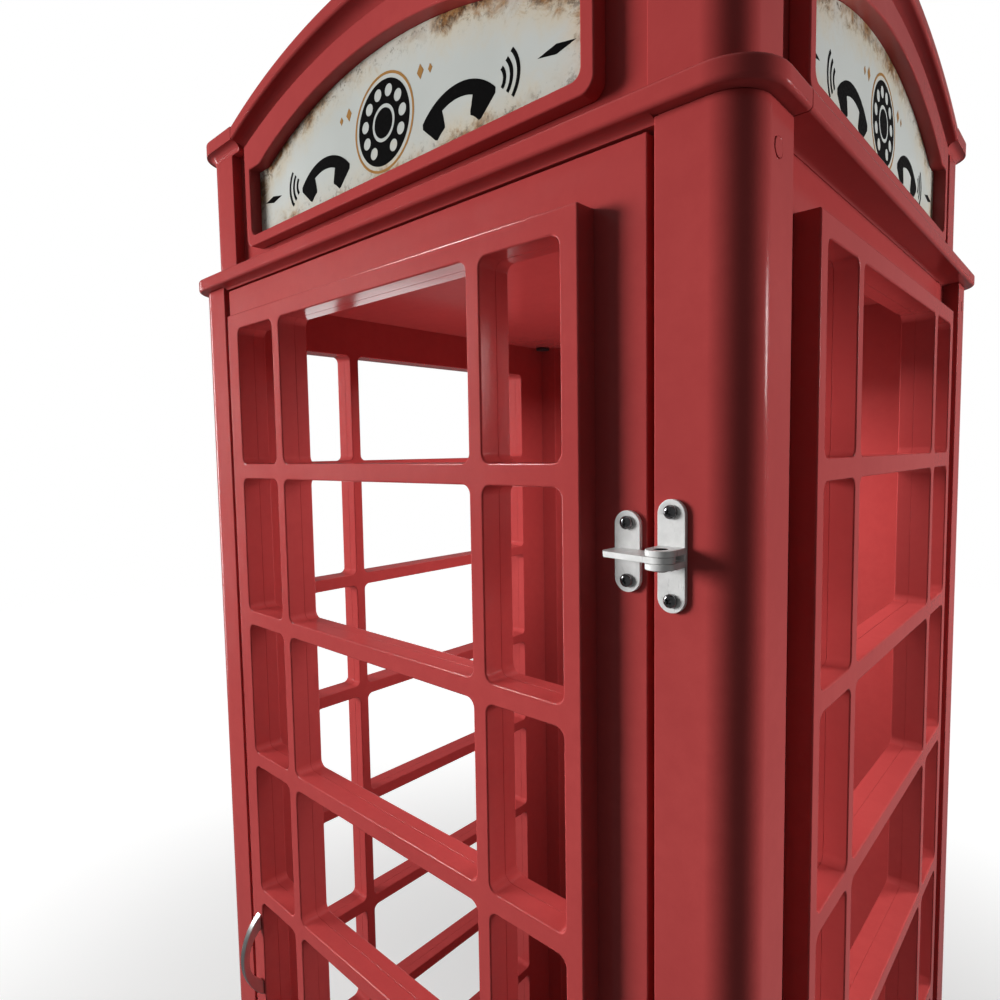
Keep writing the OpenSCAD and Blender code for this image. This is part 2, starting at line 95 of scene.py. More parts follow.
class Shader:
    """A material's node tree, with short calls for the nodes used here."""

    def __init__(self, name, roughness, metallic=0.0, coat=0.0, coat_roughness=0.1, specular=0.5):
        self.material = bpy.data.materials.new(name)
        self.material.use_nodes = True
        self.tree = self.material.node_tree
        self.surface = self.tree.nodes["Principled BSDF"]
        self.surface.inputs["Roughness"].default_value = roughness
        self.surface.inputs["Metallic"].default_value = metallic
        self.surface.inputs["Coat Weight"].default_value = coat
        self.surface.inputs["Coat Roughness"].default_value = coat_roughness
        self.surface.inputs["Specular IOR Level"].default_value = specular
        self.place = self.tree.nodes.new("ShaderNodeTexCoord").outputs["Object"]

    def node(self, kind, **inputs):
        made = self.tree.nodes.new(kind)
        for name, value in inputs.items():
            self.put(made.inputs[name.replace("_", " ")], value)
        return made

    def put(self, socket, value):
        if isinstance(value, bpy.types.NodeSocket):
            self.tree.links.new(value, socket)
        else:
            socket.default_value = value

    def noise(self, scale, detail=2.0, stretch=(1, 1, 1), shift=(0, 0, 0), rough=0.5, distortion=0.0):
        where = self.node("ShaderNodeMapping", Vector=self.place, Scale=stretch, Location=shift)
        return self.node("ShaderNodeTexNoise", Vector=where.outputs[0], Scale=scale, Detail=detail,
                         Roughness=rough, Distortion=distortion).outputs["Fac"]

    def math(self, operation, a, b=0.0, c=0.0):
        made = self.tree.nodes.new("ShaderNodeMath")
        made.operation = operation
        for socket, value in zip(made.inputs, (a, b, c)):
            self.put(socket, value)
        return made.outputs[0]

    def span(self, value, low, high, to_low=0.0, to_high=1.0):
        """Value from low to high turned smoothly into to_low to to_high, clamped"""
        made = self.node("ShaderNodeMapRange", Value=value, From_Min=low, From_Max=high,
                         To_Min=to_low, To_Max=to_high)
        made.interpolation_type = "SMOOTHSTEP"
        return made.outputs[0]

    def mix(self, share, first, second):
        made = self.tree.nodes.new("ShaderNodeMix")
        made.data_type = "RGBA"
        self.put(made.inputs["Factor"], share)
        for socket, value in ((made.inputs[6], first), (made.inputs[7], second)):
            self.put(socket, (*value, 1) if isinstance(value, tuple) and len(value) == 3 else value)
        return made.outputs[2]

    def bump(self, height, distance, strength=1.0, after=None):
        made = self.node("ShaderNodeBump", Height=height, Distance=distance, Strength=strength)
        if after is not None:
            self.put(made.inputs["Normal"], after)
        return made.outputs[0]

    def finish(self, colour, roughness=None, normal=None):
        self.put(self.surface.inputs["Base Color"], colour)
        if roughness is not None:
            self.put(self.surface.inputs["Roughness"], roughness)
        if normal is not None:
            self.put(self.surface.inputs["Normal"], normal)
        return self.material


# ---------------------------------------------------------------- materials

def red_paint():
    """Satin enamel sprayed on board: broad and fine tone changes, orange peel, dust nibs"""
    s = Shader("red_paint", 0.18, specular=0.13)
    broad = s.span(s.noise(2.2, 3), 0.3, 0.7)
    fine = s.span(s.noise(55, 4, rough=0.7), 0.25, 0.75)
    colour = s.mix(broad, (0.335, 0.043, 0.042), (0.385, 0.053, 0.051))
    colour = s.mix(s.math("MULTIPLY", fine, 0.35), colour, (0.30, 0.035, 0.036))
    nibs = s.span(s.noise(620, 1), 0.76, 0.82)
    colour = s.mix(s.math("MULTIPLY", nibs, 0.12), colour, (0.20, 0.020, 0.020))
    roughness = s.span(s.noise(18, 4, rough=0.65), 0.25, 0.75, 0.15, 0.21)
    peel = s.bump(s.noise(420, 1), 0.00012, 0.3)
    waves = s.bump(s.noise(9, 1), 0.0010, 0.15, after=peel)
    return s.finish(colour, roughness, waves)


def bare_timber():
    """Planed softwood, with grain along the piece's length"""
    s = Shader("bare_timber", 0.62)
    grain = s.noise(28, 6, stretch=(0.15, 1, 1), rough=0.6, distortion=0.6)
    fibres = s.noise(260, 3, stretch=(0.04, 1, 1))
    colour = s.mix(s.span(grain, 0.35, 0.65), (0.62, 0.42, 0.22), (0.42, 0.25, 0.11))
    colour = s.mix(s.math("MULTIPLY", s.span(fibres, 0.4, 0.7), 0.4), colour, (0.34, 0.20, 0.09))
    return s.finish(colour, s.span(fibres, 0.3, 0.7, 0.55, 0.75), s.bump(fibres, 0.0003, 0.4))


def hinge_metal():
    """Light grey satin coating on metal, with faint cloudiness, small scuffs, and painted shade inside the
    pin bores
    """
    s = Shader("hinge_metal", 0.36, metallic=0.15, coat=0.1)
    cloud = s.span(s.noise(70, 4, rough=0.6), 0.3, 0.7)
    colour = s.mix(cloud, (0.66, 0.66, 0.65), (0.78, 0.78, 0.77))
    scuffs = s.span(s.noise(320, 3, stretch=(1, 1, 0.2)), 0.64, 0.74)
    colour = s.mix(s.math("MULTIPLY", scuffs, 0.5), colour, (0.33, 0.33, 0.33))
    parts = s.node("ShaderNodeSeparateXYZ", Vector=s.place)
    across = s.math("SUBTRACT", parts.outputs[0], PIN_AXIS.x)
    ahead = s.math("SUBTRACT", parts.outputs[1], PIN_AXIS.y)
    square = s.math("ADD", s.math("MULTIPLY", across, across), s.math("MULTIPLY", ahead, ahead))
    # Painted shade: the inside of each pin bore and the rim around it are painted near black, as if in
    # shadow
    bore_shade = s.span(s.math("SQRT", square), BORE_R, BORE_R + 0.3 * MM, 1.0, 0.0)
    colour = s.mix(bore_shade, colour, (0.012, 0.012, 0.012))
    peel = s.bump(s.noise(900, 2), 0.00008, 0.4)
    return s.finish(colour, s.span(s.noise(160, 3), 0.3, 0.7, 0.30, 0.46), peel)


def metal(name, dark, light, scale, stretch, rough_low, rough_high, depth, metallic=1.0):
    """A metal with a drawn or turned grain: lines of tone, roughness and height"""
    s = Shader(name, rough_low, metallic=metallic)
    lines = s.noise(scale, 4, stretch=stretch, rough=0.6)
    cloud = s.noise(40, 3)
    colour = s.mix(s.span(lines, 0.3, 0.7), dark, light)
    colour = s.mix(s.math("MULTIPLY", s.span(cloud, 0.45, 0.75), 0.25), colour, dark)
    return s.finish(colour, s.span(lines, 0.3, 0.7, rough_low, rough_high),
                    s.bump(lines, depth, 0.5))


def dull_black(name, colour, worn, roughness, grain_scale, grain_depth):
    """Black rubber or plastic with a fine moulded grain and paler rubbed spots"""
    s = Shader(name, roughness)
    grain = s.noise(grain_scale, 2)
    rubbed = s.span(s.noise(60, 4, rough=0.7), 0.52, 0.72)
    tone = s.mix(s.math("MULTIPLY", rubbed, 0.6), colour, worn)
    return s.finish(tone, s.span(grain, 0.3, 0.7, roughness - 0.08, roughness + 0.08),
                    s.bump(grain, grain_depth, 0.6))


def sign_face(seed):
    """Off-white printed panel, aged from its edges inwards: tan halo, brown rust and dark specks"""
    s = Shader("sign_face_" + SIDES[seed], 0.55, specular=0.12)
    shift = (seed * 3.7, seed * 1.3, seed * 2.1)
    parts = s.node("ShaderNodeSeparateXYZ", Vector=s.place)
    x, z = parts.outputs[0], parts.outputs[2]
    from_side = s.math("SUBTRACT", SIGN_HALF, s.math("ABSOLUTE", x))
    from_low = s.math("SUBTRACT", z, SIGN_LOW)
    height = s.math("SUBTRACT", z, SIGN_ARC_Z)
    reach = s.math("SQRT", s.math("ADD", s.math("MULTIPLY", x, x), s.math("MULTIPLY", height, height)))
    from_arc = s.math("SUBTRACT", SIGN_ARC_R, reach)
    inside = s.math("MINIMUM", s.math("MINIMUM", from_side, from_low), from_arc)
    cloud = s.noise(9, 5, shift=shift, rough=0.65, distortion=0.4)
    ragged = s.noise(38, 6, shift=shift, rough=0.72, distortion=0.9)
    crumbs = s.noise(150, 5, shift=shift, rough=0.75)
    patchy = s.span(cloud, 0.40, 0.60)

    def near_edge(width, roughen):
        edge = s.math("ADD", inside, s.math("MULTIPLY", s.math("SUBTRACT", ragged, 0.5), roughen))
        return s.span(edge, 0.0, width, 1.0, 0.0)

    halo = s.math("MULTIPLY", near_edge(0.052, 0.06), s.math("ADD", 0.35, s.math("MULTIPLY", patchy, 0.65)))
    rust = s.math("MULTIPLY", near_edge(0.022, 0.07), s.math("ADD", 0.12, s.math("MULTIPLY", patchy, 1.0)))
    specks = s.math("MULTIPLY", s.span(crumbs, 0.54, 0.61), near_edge(0.036, 0.08))
    specks = s.math("MULTIPLY", specks, s.span(ragged, 0.40, 0.60))
    ground = s.mix(s.span(s.noise(5, 3, shift=shift), 0.3, 0.7), (0.42, 0.44, 0.42), (0.48, 0.50, 0.48))
    ground = s.mix(s.math("MULTIPLY", s.span(s.noise(240, 3), 0.4, 0.7), 0.12), ground, (0.45, 0.46, 0.43))
    colour = s.mix(s.math("MULTIPLY", halo, 0.8), ground, (0.50, 0.41, 0.27))
    brown = s.mix(s.span(crumbs, 0.38, 0.60), (0.24, 0.12, 0.045), (0.075, 0.032, 0.014))
    colour = s.mix(s.math("MULTIPLY", rust, 0.9), colour, brown)
    colour = s.mix(s.math("MULTIPLY", specks, 0.95), colour, (0.030, 0.015, 0.009))
    roughness = s.span(s.math("ADD", rust, specks), 0.0, 1.0, 0.46, 0.8)
    pits = s.math("MULTIPLY", s.math("ADD", rust, specks), crumbs)
    return s.finish(colour, roughness, s.bump(pits, 0.0006, 0.5))


def print_ink(name, colour, faded):
    """Ink on the sign: solid, with faint uneven cover"""
    s = Shader(name, 0.55, specular=0.03)
    cover = s.span(s.noise(90, 5, rough=0.7), 0.55, 0.8)
    return s.finish(s.mix(s.math("MULTIPLY", cover, 0.25), colour, faded),
                    s.span(s.noise(300, 3), 0.3, 0.7, 0.45, 0.6))


# Outline of the sign opening less its slack, about the arc's own centre
SIGN_HALF = 0.2871
SIGN_SHOULDER = SIGN_LOW + 0.0912
SIGN_ARC_R = 0.6221
SIGN_ARC_Z = SIGN_TOP - SIGN_ARC_R
SIGN_CORNER = 0.010

make_camera()

MATERIALS = {
    "red_paint": red_paint(),
    "bare_timber": bare_timber(),
    "hinge_metal": hinge_metal(),
    "black_steel": metal("black_steel", (0.010, 0.010, 0.011), (0.022, 0.022, 0.024), 300, (1, 1, 0.1),
                         0.42, 0.6, 0.0001, metallic=0.3),
    "dark_chrome": metal("dark_chrome", (0.15, 0.15, 0.155), (0.26, 0.26, 0.265), 500, (1, 1, 1),
                         0.10, 0.18, 0.00003),
    "satin_steel": metal("satin_steel", (0.50, 0.51, 0.51), (0.58, 0.59, 0.58), 90, (1, 1, 0.1),
                         0.32, 0.38, 0.00001, metallic=1.0),
    "black_rubber": dull_black("black_rubber", (0.018, 0.018, 0.018), (0.06, 0.06, 0.058),
                               0.72, 700, 0.00012),
    "black_plastic": dull_black("black_plastic", (0.014, 0.014, 0.015), (0.035, 0.035, 0.035),
                                0.42, 900, 0.00006),
}


# ---------------------------------------------------------------- pieces from the CAD

def merged_copy(node):
    """The CAD node's mesh welded and with its flat faces whole again, as a bmesh"""
    bm = bmesh.new()
    bm.from_mesh(frame["nodes"][node].data)
    bmesh.ops.remove_doubles(bm, verts=bm.verts, dist=0.01 * MM)
    bmesh.ops.dissolve_limit(bm, angle_limit=math.radians(0.3), verts=bm.verts, edges=bm.edges)
    return bm


def link(name, mesh, material):
    made = bpy.data.objects.new(name, mesh)
    mesh.materials.clear()
    mesh.materials.append(material)
    bpy.context.scene.collection.objects.link(made)
    return made


def shown(made, *nodes):
    """The piece rides on the body of the nodes it stands for, and those nodes' CAD parts are hidden"""
    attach(made, BODY_OF[nodes[0]])
    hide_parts(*nodes)
    return made


def round_edges(made, width, segments=3, weighted=False, angle=35):
    bevel = made.modifiers.new("round_edges", "BEVEL")
    bevel.width = width
    bevel.segments = segments
    bevel.limit_method = "WEIGHT" if weighted else "ANGLE"
    bevel.angle_limit = math.radians(angle)
    bevel.use_clamp_overlap = False
    bevel.loop_slide = False
    bevel.miter_outer = "MITER_ARC"
    normals = made.modifiers.new("flat_faces", "WEIGHTED_NORMAL")
    normals.mode = "FACE_AREA"
    normals.weight = 100


def weigh_edges(bm, share_at, angle=35):
    """Marks the sharp edges for rounding, by the share that their middle point gets"""
    layer = bm.edges.layers.float.new("bevel_weight_edge")
    for edge in bm.edges:
        if len(edge.link_faces) == 2 and edge.calc_face_angle(0) > math.radians(angle):
            middle = (edge.verts[0].co + edge.verts[1].co) / 2
            edge[layer] = share_at(middle)


def even_triangles(bm):
    """Flat faces with holes cut into well-shaped triangles, so that their edges round cleanly"""
    bmesh.ops.triangulate(bm, faces=[f for f in bm.faces if len(f.verts) > 4])
    flat = [e for e in bm.edges if len(e.link_faces) == 2 and e.calc_face_angle(1) < math.radians(0.3)]
    bmesh.ops.beautify_fill(bm, faces=bm.faces[:], edges=flat)


def painted(node, width, segments=3, share_at=None, even=False):
    """A CAD node again, with its edges rounded as painted boards have them"""
    bm = merged_copy(node)
    if even:
        even_triangles(bm)
    if share_at is not None:
        weigh_edges(bm, share_at)
    mesh = bpy.data.meshes.new(node + "_shown")
    bm.to_mesh(mesh)
    bm.free()
    for stale in ("custom_normal", "sharp_edge"):
        if stale in mesh.attributes:
            mesh.attributes.remove(mesh.attributes[stale])
    mesh.shade_smooth()
    made = link(node + "_shown", mesh, MATERIALS[SLOT_OF[node]])
    round_edges(made, width, segments, weighted=share_at is not None)
    return shown(made, node)


def near(value, target):
    return abs(value - target) < 0.5 * MM


# Where two boards lie on each other their edges stay crisper than in front
JOINT_SHARE = 0.3


def share_on_door(point):
    return JOINT_SHARE if near(-point.y, DOOR_FACE) else 1


def share_behind_frame(point):
    """For the door's base board: crisp only where the raised frame covers it"""
    covered = FRAME_LOW.x < point.x < FRAME_HIGH.x and FRAME_LOW.z < point.z < FRAME_HIGH.z
    return share_on_door(point) if covered else 1


def share_on_wall(point):
    return JOINT_SHARE if near(abs(point.x), WALL_FACE) else 1


painted("door_board", 1.6 * MM, share_at=share_behind_frame)
painted("door_frame", 2.0 * MM, share_at=share_on_door)
for side in ("right", "left"):
    painted("side_board_" + side, 1.6 * MM, share_at=share_on_wall)
    painted("side_frame_" + side, 2.0 * MM, share_at=share_on_wall)
painted("back_board", 1.2 * MM)
painted("back_panel", 2.0 * MM)

for corner in ("front_right", "back_right", "back_left", "front_left"):
    painted("post_" + corner, 1.6 * MM)
    painted("upper_post_" + corner, 1.4 * MM)
for side in SIDES:
    painted("lower_cornice_" + side, 1.0 * MM)
    painted("attic_board_" + side, 1.0 * MM)
    painted("sign_frame_" + side, 2.0 * MM)
    painted("arch_" + side, 1.0 * MM)
for node, width in (("plinth_boards", 1.5), ("floor_board", 2.5), ("door_stop_left", 1.5),
                    ("door_stop_right", 1.5), ("door_stop_head", 1.5), ("ceiling_board", 1.0),
                    ("bed_moulds", 0.15), ("cornice_corners", 0.6), ("roof_dome", 0.6),
                    ("post_plugs", 0.35), ("corner_blocks", 1.5), ("floor_bearer", 1.5),
                    ("glides", 1.2), ("ceiling_caps", 1.6), ("magnet_catch", 1.2),
                    ("strike_plate", 0.4), ("door_handle", 1.1), ("hinge_pins", 0.6)):
    painted(node, width * MM)


# ---------------------------------------------------------------- screws

# The screw head and its cross recess, in millimetres
HEAD_R = 5.6
HEAD_H = 4.6
HEAD_SIDE = 2.0
CROSS_HALF = 3.8
CROSS_WIDTH = 2.0
CROSS_DEEP = 2.6


def turned(bm, profile, steps=48):
    """A closed solid of revolution about Z from (radius, height) points, axis to axis"""
    rings = []
    for radius, height in profile:
        if radius == 0:
            rings.append([bm.verts.new((0, 0, height))])
            continue
        rings.append([bm.verts.new((radius * math.cos(2 * math.pi * i / steps),
                                    radius * math.sin(2 * math.pi * i / steps), height))
                      for i in range(steps)])
    for low, high in zip(rings, rings[1:]):
        for i in range(steps):
            j = (i + 1) % steps
            corners = [low[i % len(low)], low[j % len(low)], high[j % len(high)], high[i % len(high)]]
            bm.faces.new(list(dict.fromkeys(corners)))


def screw_mesh():
    """One pan-head screw with a cross recess, drawn in millimetres, its head's underside at 0"""
    bm = bmesh.new()
    dome = [(HEAD_R * math.cos(a), HEAD_SIDE + (HEAD_H - HEAD_SIDE) * math.sin(a))
            for a in (math.radians(10 * i) for i in range(9))]
    turned(bm, [(0, -1.5), (2.0, -1.5), (2.0, 0), (HEAD_R - 0.4, 0), (HEAD_R, 0.4), *dome, (0, HEAD_H)])
    bmesh.ops.recalc_face_normals(bm, faces=bm.faces)
    mesh = bpy.data.meshes.new("screw")
    bm.to_mesh(mesh)
    bm.free()
    head = link("screw_blank", mesh, MATERIALS["dark_chrome"])
    cross = bmesh.new()
    for turn in (0, math.pi / 2):
        made = bmesh.ops.create_cube(cross, size=1)["verts"]
        bmesh.ops.scale(cross, verts=made, vec=(2 * CROSS_HALF, CROSS_WIDTH, 2 * CROSS_DEEP))
        for vert in made:
            if vert.co.z < 0:
                vert.co.x *= 0.45
                vert.co.y *= 0.7
        bmesh.ops.rotate(cross, verts=made, matrix=Matrix.Rotation(turn, 3, "Z"))
        bmesh.ops.translate(cross, verts=made, vec=(0, 0, HEAD_H))
    tool_mesh = bpy.data.meshes.new("cross")
    cross.to_mesh(tool_mesh)
    cross.free()
    tool = link("cross", tool_mesh, MATERIALS["dark_chrome"])
    cut = head.modifiers.new("cut", "BOOLEAN")
    cut.object = tool
    cut.operation = "DIFFERENCE"
    cut.solver = "EXACT"
    cut.use_self = True
    bpy.context.view_layer.update()
    finished = bpy.data.meshes.new_from_object(head.evaluated_get(bpy.context.evaluated_depsgraph_get()))
    bpy.data.objects.remove(head)
    bpy.data.objects.remove(tool)
    clean = bmesh.new()
    clean.from_mesh(finished)
    bmesh.ops.remove_doubles(clean, verts=clean.verts, dist=0.02)
    bmesh.ops.dissolve_degenerate(clean, edges=clean.edges, dist=0.02)
    clean.to_mesh(finished)
    clean.free()
    return finished


def screw_places(node):
    """Where each screw of a node has the underside of its head"""
    source = merged_copy(node)
    places = []
    left = set(source.verts)
    while left:
        island, edge_of = set(), [left.pop()]
        while edge_of:
            vert = edge_of.pop()
            island.add(vert)
            for edge in vert.link_edges:
                other = edge.other_vert(vert)
                if other in left:
                    left.discard(other)
                    edge_of.append(other)
        xs, ys, zs = zip(*(v.co for v in island))
        places.append(Vector(((min(xs) + max(xs)) / 2, min(ys) + HEAD_H * MM, (min(zs) + max(zs)) / 2)))
    source.free()
    return sorted(places, key=lambda p: (p.z, p.x))


def screws(node, places, turn_seed):
    """All the screws of a node, each head turned to its own angle"""
    bm = bmesh.new()
    for count, place in enumerate(places):
        part = bmesh.new()
        part.from_mesh(SCREW)
        spin = Matrix.Rotation(math.radians((turn_seed + 67 * count) % 90), 4, "Z")
        face_out = Matrix.Rotation(math.pi / 2, 4, "X")
        part.transform(Matrix.Translation(place) @ face_out @ Matrix.Scale(MM, 4) @ spin)
        kept = bpy.data.meshes.new("part")
        part.to_mesh(kept)
        part.free()
        bm.from_mesh(kept)
        bpy.data.meshes.remove(kept)
    mesh = bpy.data.meshes.new(node + "_shown")
    bm.to_mesh(mesh)
    bm.free()
    mesh.shade_smooth()
    mesh.set_sharp_from_angle(angle=math.radians(40))
    return shown(link(node + "_shown", mesh, MATERIALS[SLOT_OF[node]]), node)


def sharp_at_screws(places):
    """Share of rounding for a hinge leaf: none at the rims of the screw holes, under the heads"""
    def share(point):
        return 0 if any(math.hypot(point.x - p.x, point.z - p.z) < HEAD_R * MM for p in places) else 1
    return share


# The door leaf's tongue starts half a millimetre inside its plate, so its edges take less rounding
LEAF_EDGE = {"hinge_door": 0.22 * MM, "hinge_post": 0.6 * MM}
SCREW = screw_mesh()
for leaf, turn_seed in (("hinge_door", 20), ("hinge_post", 55)):
    at_screws = screw_places(leaf + "_screws")
    screws(leaf + "_screws", at_screws, turn_seed)
    for place in ("top", "middle", "bottom"):
        painted(leaf + "_leaf_" + place, LEAF_EDGE[leaf], share_at=sharp_at_screws(at_screws), even=True)
painted("handle_screws", 0.5 * MM)


# ---------------------------------------------------------------- sign panels and their print

STANDING = Matrix.Rotation(math.pi / 2, 4, "X")
PRINT_T = 0.25 * MM


def arc(centre, radius, start, end, steps):
    """Points on an arc, angles in degrees anticlockwise from +X"""
    return [(centre[0] + radius * math.cos(math.radians(start + (end - start) * i / steps)),
             centre[1] + radius * math.sin(math.radians(start + (end - start) * i / steps)))
            for i in range(steps + 1)]


def ring(centre, radius, steps=48):
    return arc(centre, radius, 0, 360, steps)[:-1]


def plate(outlines, thickness, edge=0.0):
    """A flat plate from closed outlines, holes included, standing in X and Z with its face at -Y"""
    curve = bpy.data.curves.new("outline", "CURVE")
    curve.dimensions = "2D"
    curve.fill_mode = "BOTH"
    curve.extrude = thickness / 2 - edge
    curve.bevel_depth = edge
    curve.bevel_resolution = 2
    curve.offset = -edge
    for outline in outlines:
        spline = curve.splines.new("POLY")
        spline.points.add(len(outline) - 1)
        for point, (x, z) in zip(spline.points, outline):
            point.co = (x, z, 0, 1)
        spline.use_cyclic_u = True
    holder = bpy.data.objects.new("outline", curve)
    bpy.context.scene.collection.objects.link(holder)
    bpy.context.view_layer.update()
    mesh = bpy.data.meshes.new_from_object(holder.evaluated_get(bpy.context.evaluated_depsgraph_get()))
    bpy.data.objects.remove(holder)
    mesh.transform(STANDING)
    bm = bmesh.new()
    bm.from_mesh(mesh)
    bmesh.ops.remove_doubles(bm, verts=bm.verts, dist=0.005 * MM)
    bmesh.ops.recalc_face_normals(bm, faces=bm.faces)
    bm.to_mesh(mesh)
    bm.free()
    return mesh


def on_side(mesh, side, depth):
    """Moves the plate so that its front is at that depth, and gives the turn for its side"""
    front = min(v.co.y for v in mesh.vertices)
    mesh.transform(Matrix.Translation((0, -depth - front, 0)))
    return Matrix.Rotation(side * math.pi / 2, 4, "Z")


def sign_outline():
    ledge = math.sqrt(SIGN_ARC_R ** 2 - (SIGN_SHOULDER - SIGN_ARC_Z) ** 2)
    lean = math.degrees(math.acos(ledge / SIGN_ARC_R))
    low_right = arc((SIGN_HALF - SIGN_CORNER, SIGN_LOW + SIGN_CORNER), SIGN_CORNER, -90, 0, 10)
    low_left = arc((-SIGN_HALF + SIGN_CORNER, SIGN_LOW + SIGN_CORNER), SIGN_CORNER, 180, 270, 10)
    top = arc((0, SIGN_ARC_Z), SIGN_ARC_R, lean, 180 - lean, 60)
    return low_right + [(SIGN_HALF, SIGN_SHOULDER)] + top + [(-SIGN_HALF, SIGN_SHOULDER)] + low_left


def band(centre, inner, outer, start, end, steps=32):
    return arc(centre, outer, start, end, steps) + arc(centre, inner, end, start, steps)


def diamond(centre, w, h):
    return [(centre[0] + w / 2, centre[1]), (centre[0], centre[1] + h / 2),
            (centre[0] - w / 2, centre[1]), (centre[0], centre[1] - h / 2)]


# The print: a dial in the middle, a handset, sound arcs and a slim diamond on either side of it
DIAL_Z = 2.1500
DIAL_R = 0.047
HOLE_RING_R = 0.0345
HOLE_R = 0.0067
ROW_Z = 2.1300
HANDSET_X = 0.122
HANDSET_R = 0.075
HANDSET_T = 0.0145
HANDSET_CUP = 0.033
HANDSET_SPREAD = 49
HANDSET_CUP_ANGLE = 24
HANDSET_RISE = 0.018
HANDSET_SOFT = 0.003
WAVE_X = 0.174
WAVE_W = 0.0042
RULE_X = 0.251
RULE_SIZE = (0.044, 0.0090)
HUB_OUT = 0.0205
HUB_IN = 0.0165
GILT_IN = 0.0045
GILT_OUT = 0.0075


def dial():
    holes = [ring((HOLE_RING_R * math.cos(a), DIAL_Z + HOLE_RING_R * math.sin(a)), HOLE_R, 24)
             for a in (math.radians(-60 + 33 * i) for i in range(10))]
    return [[ring((0, DIAL_Z), DIAL_R, 96), ring((0, DIAL_Z), HUB_OUT, 48), *holes],
            [ring((0, DIAL_Z), HUB_IN, 48)]]


def handset(sign):
    """A bowed bar with a cup at each end, in one outline round the bow's centre"""
    centre = (sign * HANDSET_X, ROW_Z - HANDSET_R + HANDSET_RISE)
    bow = HANDSET_R - HANDSET_T
    cup = HANDSET_R - HANDSET_CUP
    start, end, width = 90 - HANDSET_SPREAD, 90 + HANDSET_SPREAD, HANDSET_CUP_ANGLE

    def corner(radius, angle):
        return arc(centre, radius, angle, angle, 1)[:1]

    back = arc(centre, HANDSET_R, start + 3, end - 3, 40)
    left_cup = (corner(HANDSET_R - 0.004, end) + corner(cup + HANDSET_SOFT, end)
                + arc(centre, cup, end - 2, end - width + 2, 6) + corner(cup + HANDSET_SOFT, end - width))
    grip = arc(centre, bow, end - width - 3, start + width + 3, 30)
    right_cup = (corner(cup + HANDSET_SOFT, start + width)
                 + arc(centre, cup, start + width - 2, start + 2, 6)
                 + corner(cup + HANDSET_SOFT, start) + corner(HANDSET_R - 0.004, start))
    return [[back + left_cup + grip + right_cup]]


def waves(sign):
    middle = 0 if sign > 0 else 180
    return [[band((sign * WAVE_X, ROW_Z), r, r + WAVE_W, middle - 42, middle + 42, 20)]
            for r in (0.012, 0.021, 0.030)]


def black_print():
    shapes = dial()
    for sign in (-1, 1):
        shapes += handset(sign) + waves(sign)
        shapes.append([diamond((sign * RULE_X, ROW_Z), *RULE_SIZE)])
    return shapes


def gilt_print():
    shapes = [[ring((0, DIAL_Z), DIAL_R + GILT_OUT, 96), ring((0, DIAL_Z), DIAL_R + GILT_IN, 96)]]
    for sign in (-1, 1):
        shapes.append([diamond((sign * 0.066, 2.1815), 0.011, 0.016)])
        shapes.append([diamond((sign * 0.082, 2.1790), 0.007, 0.010)])
    return shapes


def joined(shapes, thickness):
    bm = bmesh.new()
    for outlines in shapes:
        part = plate(outlines, thickness)
        bm.from_mesh(part)
        bpy.data.meshes.remove(part)
    mesh = bpy.data.meshes.new("print")
    bm.to_mesh(mesh)
    bm.free()
    return mesh


INKS = {"black": (print_ink("black_ink", (0.004, 0.004, 0.004), (0.020, 0.018, 0.016)), black_print),
        "gilt": (print_ink("gilt_ink", (0.30, 0.155, 0.05), (0.08, 0.035, 0.010)), gilt_print)}
for side, name in enumerate(SIDES):
    panel_mesh = plate([sign_outline()], 3 * MM, edge=0.4 * MM)
    turn = on_side(panel_mesh, side, SIGN_DEPTH)
    panel = link("sign_panel_" + name, panel_mesh, sign_face(side))
    panel.matrix_world = turn
    shown(panel, "sign_panels")
    for ink, (material, shapes) in INKS.items():
        print_mesh = joined(shapes(), PRINT_T)
        on_side(print_mesh, side, SIGN_DEPTH + PRINT_T - 0.05 * MM)
        mark = link(f"sign_print_{ink}_{name}", print_mesh, material)
        mark.matrix_world = turn
        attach(mark, "cabin")


# ---------------------------------------------------------------- studio

FLOOR_R = 9

# How bright the room is for everything but the camera
ROOM = 0.145
METAL_NODES = ["door_handle", "handle_screws", "hinge_door_screws", "hinge_post_screws"]
DOOR_NODES = ["door_frame", "door_board"]


def make_floor():
    """A pale sweep that fades to white far away; it lights only the camera, not the booth"""
    bm = bmesh.new()
    bmesh.ops.create_circle(bm, cap_ends=True, segments=96, radius=FLOOR_R)
    mesh = bpy.data.meshes.new("floor")
    bm.to_mesh(mesh)
    bm.free()
    s = Shader("pale_floor", 0.7, specular=0.1)
    away = s.tree.nodes.new("ShaderNodeVectorMath")
    away.operation = "LENGTH"
    s.put(away.inputs[0], s.place)
    glow = s.span(away.outputs["Value"], 0.8, 3.2, 0.42, 0.95)
    s.surface.inputs["Emission Color"].default_value = (1, 1, 1, 1)
    s.put(s.surface.inputs["Emission Strength"], glow)
    tone = s.mix(s.span(s.noise(0.8, 3), 0.3, 0.7), (0.50, 0.51, 0.50), (0.56, 0.57, 0.56))
    floor = link("floor", mesh, s.finish(tone))
    floor.visible_diffuse = False
    floor.visible_glossy = False


def make_light(name, place, aim, width, height, power, spread=180, glossy=True):
    data = bpy.data.lights.new(name, "AREA")
    data.shape = "RECTANGLE"
    data.size = width
    data.size_y = height
    data.energy = power
    data.spread = math.radians(spread)
    lamp = bpy.data.objects.new(name, data)
    lamp.location = place
    lamp.rotation_mode = "QUATERNION"
    lamp.rotation_quaternion = (Vector(aim) - Vector(place)).to_track_quat("-Z", "Y")
    lamp.visible_camera = False
    lamp.visible_glossy = glossy
    bpy.context.scene.collection.objects.link(lamp)
    return lamp


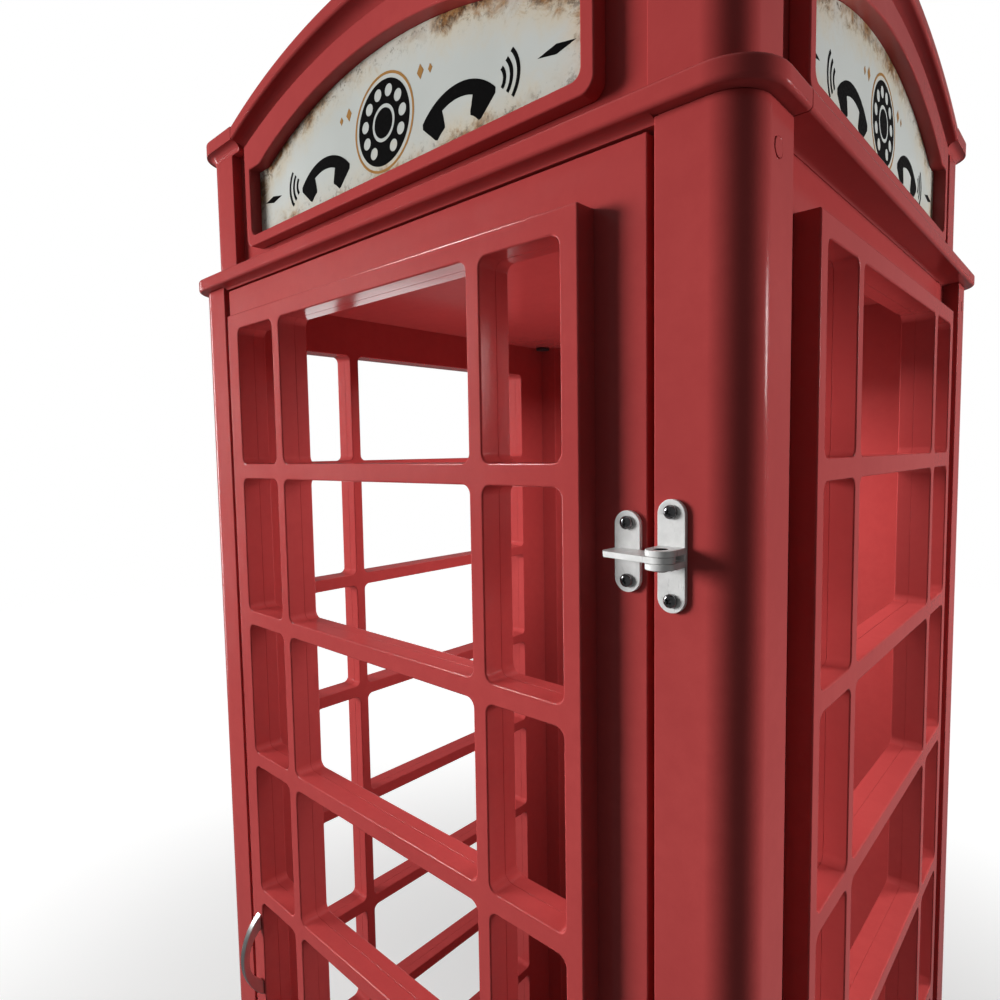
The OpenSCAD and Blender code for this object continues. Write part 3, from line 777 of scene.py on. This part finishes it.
def light_only(lamp, nodes):
    """Keeps the lamp's light to these pieces"""
    group = bpy.data.collections.new(lamp.name + "_pieces")
    for node in nodes:
        group.objects.link(bpy.data.objects[node + "_shown"])
    lamp.light_linking.receiver_collection = group


def make_world():
    """White studio walls as the camera sees them, in a dark room"""
    world = bpy.data.worlds.new("studio")
    bpy.context.scene.world = world
    world.use_nodes = True
    tree = world.node_tree
    background = tree.nodes["Background"]
    seen = tree.nodes.new("ShaderNodeLightPath")
    wall = tree.nodes.new("ShaderNodeMapRange")
    wall.inputs["To Min"].default_value = ROOM
    tree.links.new(seen.outputs["Is Camera Ray"], wall.inputs["Value"])
    background.inputs["Color"].default_value = (1, 1, 1, 1)
    tree.links.new(wall.outputs[0], background.inputs["Strength"])


make_floor()
make_world()
make_light("key_box", (-4.2, -3.4, 2.4), (0, -0.3, 1.6), 2.2, 2.2, 48, spread=50, glossy=False)
make_light("edge_strip", (-4.5, -1.5, 1.6), (0, -0.4, 1.5), 0.35, 3.0, 4, spread=50)
make_light("side_fill", (2.3, 2.2, 2.0), (0.4, -0.2, 1.4), 1.0, 1.2, 20, spread=60, glossy=False)
make_light("side_box", (2.57, 2.07, 2.35), (0.4, -0.4, 1.8), 0.2, 0.6, 1.1, spread=60)
make_light("top_box", (-0.6, -0.8, 5.6), (0, 0, 1), 3.0, 3.0, 16)
make_light("cabin_fill", (0.05, 0.05, 1.9), (0, 0, 0), 0.5, 0.5, 5, glossy=False)
make_light("cabin_bounce", (0.0, 0.0, 0.3), (0, 0, 2), 0.5, 0.5, 1.8, spread=50, glossy=False)
metal_box = make_light("metal_box", (-4.0, -2.6, 2.8), (0, -0.4, 1.2), 1.4, 1.4, 12, spread=60)
light_only(metal_box, METAL_NODES)

# Reflections alone, on the door alone: glints on its rounded edges, and the white behind the booth
glint_box = make_light("glint_box", (-2.6, -2.2, 4.2), (0, -0.4, 1.3), 0.8, 0.8, 24, spread=60)
glint_box.visible_diffuse = False
light_only(glint_box, DOOR_NODES)
far_wall = make_light("far_wall", (-3.2, 2.0, 0.9), (0.0, -0.4, 1.95), 3.2, 1.6, 7, spread=90)
far_wall.visible_diffuse = False
light_only(far_wall, DOOR_NODES)

bpy.context.scene.view_settings.view_transform = "Standard"
